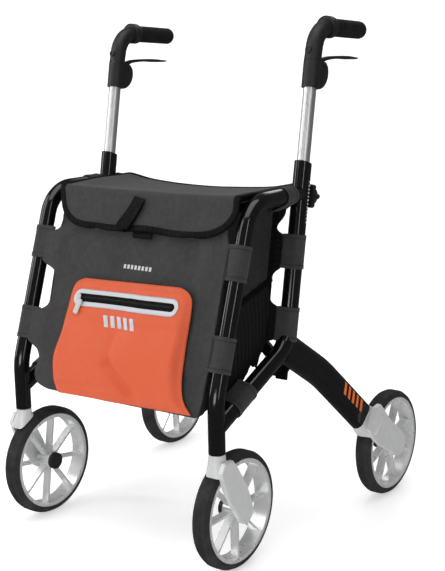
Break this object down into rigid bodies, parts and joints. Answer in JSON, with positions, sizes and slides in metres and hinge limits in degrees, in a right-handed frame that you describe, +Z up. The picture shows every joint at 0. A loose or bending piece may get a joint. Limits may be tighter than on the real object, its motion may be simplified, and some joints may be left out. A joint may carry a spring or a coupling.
{
  "type": "rollator walker",
  "caption": "Folding rollator walker with two side frames, a cross brace, swivelling front wheels, height-adjustable brake handles, a fabric seat and a shopping bag.",
  "frame": {"origin": "on the floor, midway between the front and rear axles and between the side frames", "axes": "+Z up, the walker's front faces -Y, +X towards the user's left"},
  "size_m": [0.5882, 0.636, 0.8979],
  "materials": {
    "gloss_black": "high gloss black powder coat",
    "bright_aluminium": "brushed and anodised",
    "fork_grey": "satin silver grey paint",
    "wheel_silver": "satin silver plastic",
    "tyre_black": "soft ribbed black",
    "black_plastic": "fine textured black",
    "grip_black": "soft matte black",
    "steel": "plain",
    "charcoal_cloth": "heather charcoal woven",
    "lining_cloth": "plain black woven",
    "webbing_black": "black webbing",
    "orange_cloth": "coated orange woven",
    "reflective_trim": "silver reflective tape",
    "puller_grey": "light grey"
  },
  "bodies": {
    "right_frame": {"right_front_tube": "gloss_black", "right_upright_tube": "gloss_black", "right_upright_collar": "gloss_black", "right_rear_leg": "gloss_black", "right_rear_fork": "fork_grey", "right_pivot_bracket": "gloss_black", "right_side_panel": "charcoal_cloth", "bag_front_panel": "charcoal_cloth", "bag_back_panel": "lining_cloth", "bag_floor": "lining_cloth", "front_pocket": "orange_cloth", "pocket_zip": "reflective_trim", "closure_tab": "webbing_black"},
    "right_handle": {"right_handle_tube": "bright_aluminium", "right_brake_housing": "black_plastic", "right_handle_elbow": "black_plastic", "right_grip": "grip_black"},
    "right_brake_lever": {"right_brake_lever": "black_plastic"},
    "right_brake_shoe": {"right_brake_shoe": "grip_black"},
    "right_height_knob": {"right_height_knob": "black_plastic"},
    "right_caster": {"right_caster_fork": "fork_grey", "right_caster_stem": "steel"},
    "right_front_wheel": {"right_front_tyre": "tyre_black", "right_front_rim": "wheel_silver", "right_front_hub_cap": "black_plastic"},
    "right_rear_wheel": {"right_rear_tyre": "tyre_black", "right_rear_rim": "wheel_silver", "right_rear_hub_cap": "black_plastic"},
    "right_seat_rail": {"right_seat_rail": "gloss_black", "seat": "charcoal_cloth"},
    "left_frame": {"left_front_tube": "gloss_black", "left_upright_tube": "gloss_black", "left_upright_collar": "gloss_black", "left_rear_leg": "gloss_black", "left_rear_fork": "fork_grey", "left_pivot_bracket": "gloss_black", "left_side_panel": "charcoal_cloth"},
    "left_handle": {"left_handle_tube": "bright_aluminium", "left_brake_housing": "black_plastic", "left_handle_elbow": "black_plastic", "left_grip": "grip_black"},
    "left_brake_lever": {"left_brake_lever": "black_plastic"},
    "left_brake_shoe": {"left_brake_shoe": "grip_black"},
    "left_height_knob": {"left_height_knob": "black_plastic"},
    "left_caster": {"left_caster_fork": "fork_grey", "left_caster_stem": "steel"},
    "left_front_wheel": {"left_front_tyre": "tyre_black", "left_front_rim": "wheel_silver", "left_front_hub_cap": "black_plastic"},
    "left_rear_wheel": {"left_rear_tyre": "tyre_black", "left_rear_rim": "wheel_silver", "left_rear_hub_cap": "black_plastic"},
    "left_seat_rail": {"left_seat_rail": "gloss_black"},
    "cross_bar_a": {"cross_bar_a": "gloss_black"},
    "cross_bar_b": {"cross_bar_b": "gloss_black", "centre_pivot": "steel"},
    "seat_flap": {"seat_flap": "charcoal_cloth", "pull_strap": "webbing_black"},
    "zip_puller": {"zip_puller": "puller_grey"}
  },
  "joints": [
    {"name": "fold", "type": "hinge", "parent": "right_frame", "child": "cross_bar_a", "pos_m": [-0.184, -0.03112, 0.29226], "axis": [0, -0.9837, 0.18], "range_deg": [0, 41.32], "deforming": ["bag_front_panel", "bag_back_panel", "bag_floor", "front_pocket", "pocket_zip", "closure_tab", "seat", "seat_flap", "pull_strap", "zip_puller"]},
    {"name": "fold_centre", "type": "hinge", "parent": "cross_bar_a", "child": "cross_bar_b", "pos_m": [0, -0.00367, 0.44226], "axis": [0, -0.9837, 0.18], "range_deg": [-82.74, 0]},
    {"name": "fold_left_frame", "type": "hinge", "parent": "cross_bar_b", "child": "left_frame", "pos_m": [0.184, -0.03112, 0.29226], "axis": [0, -0.9837, 0.18], "range_deg": [0, 41.42]},
    {"name": "fold_left_rail", "type": "hinge", "parent": "cross_bar_a", "child": "left_seat_rail", "pos_m": [0.184, 0.02378, 0.59226], "axis": [0, -0.9837, 0.18], "range_deg": [-41.42, 0]},
    {"name": "fold_right_rail", "type": "hinge", "parent": "cross_bar_b", "child": "right_seat_rail", "pos_m": [-0.184, 0.02378, 0.59226], "axis": [0, -0.9837, 0.18], "range_deg": [0, 41.42]},
    {"name": "flap_open", "type": "hinge", "parent": "right_seat_rail", "child": "seat_flap", "pos_m": [0, -0.18306, 0.61034], "axis": [1, 0, 0], "range_deg": [-150, 0]},
    {"name": "zip_slide", "type": "slide", "parent": "right_frame", "child": "zip_puller", "axis": [-1, 0, 0], "range_m": [-0.196, 0]},
    {"name": "left_handle_height", "type": "slide", "parent": "left_frame", "child": "left_handle", "axis": [0, 0.18, 0.9837], "range_m": [-0.09, 0.08]},
    {"name": "left_lever_squeeze", "type": "hinge", "parent": "left_handle", "child": "left_brake_lever", "pos_m": [0.22, 0.04, 0.812], "axis": [1, 0, 0], "range_deg": [0, 11], "stiffness_Nm_per_rad": 0.4, "springref_deg": -11.46},
    {"name": "left_shoe_press", "type": "slide", "parent": "left_frame", "child": "left_brake_shoe", "axis": [0, 0.7834, -0.6216], "range_m": [0, 0.0026]},
    {"name": "left_knob_turn", "type": "hinge", "parent": "left_frame", "child": "left_height_knob", "pos_m": [0.22, -0.0018, 0.59694], "axis": [0, 0.9837, -0.18], "range_deg": [0, 360]},
    {"name": "left_caster_swivel", "type": "hinge", "parent": "left_frame", "child": "left_caster", "pos_m": [0.22, -0.268, 0.2], "axis": [0, 0, 1], "continuous": true},
    {"name": "left_front_wheel_spin", "type": "hinge", "parent": "left_caster", "child": "left_front_wheel", "pos_m": [0.215, -0.218, 0.1], "axis": [1, 0, 0], "continuous": true},
    {"name": "left_rear_wheel_spin", "type": "hinge", "parent": "left_frame", "child": "left_rear_wheel", "pos_m": [0.262, 0.218, 0.1], "axis": [1, 0, 0], "continuous": true},
    {"name": "right_handle_height", "type": "slide", "parent": "right_frame", "child": "right_handle", "axis": [0, 0.18, 0.9837], "range_m": [-0.09, 0.08]},
    {"name": "right_lever_squeeze", "type": "hinge", "parent": "right_handle", "child": "right_brake_lever", "pos_m": [-0.22, 0.04, 0.812], "axis": [1, 0, 0], "range_deg": [0, 11], "stiffness_Nm_per_rad": 0.4, "springref_deg": -11.46},
    {"name": "right_shoe_press", "type": "slide", "parent": "right_frame", "child": "right_brake_shoe", "axis": [0, 0.7834, -0.6216], "range_m": [0, 0.0026]},
    {"name": "right_knob_turn", "type": "hinge", "parent": "right_frame", "child": "right_height_knob", "pos_m": [-0.22, -0.0018, 0.59694], "axis": [0, 0.9837, -0.18], "range_deg": [0, 360]},
    {"name": "right_caster_swivel", "type": "hinge", "parent": "right_frame", "child": "right_caster", "pos_m": [-0.22, -0.268, 0.2], "axis": [0, 0, 1], "continuous": true},
    {"name": "right_front_wheel_spin", "type": "hinge", "parent": "right_caster", "child": "right_front_wheel", "pos_m": [-0.215, -0.218, 0.1], "axis": [1, 0, 0], "continuous": true},
    {"name": "right_rear_wheel_spin", "type": "hinge", "parent": "right_frame", "child": "right_rear_wheel", "pos_m": [-0.262, 0.218, 0.1], "axis": [1, 0, 0], "continuous": true}
  ],
  "couplings": [
    {"joint": "fold_centre", "follows": "fold", "ratio": -2},
    {"joint": "fold_left_frame", "follows": "fold", "ratio": 1},
    {"joint": "fold_left_rail", "follows": "fold", "ratio": -1},
    {"joint": "fold_right_rail", "follows": "fold", "ratio": 1},
    {"joint": "left_shoe_press", "follows": "left_lever_squeeze", "m_per_rad": 0.013022},
    {"joint": "right_shoe_press", "follows": "right_lever_squeeze", "m_per_rad": 0.013022}
  ]
}
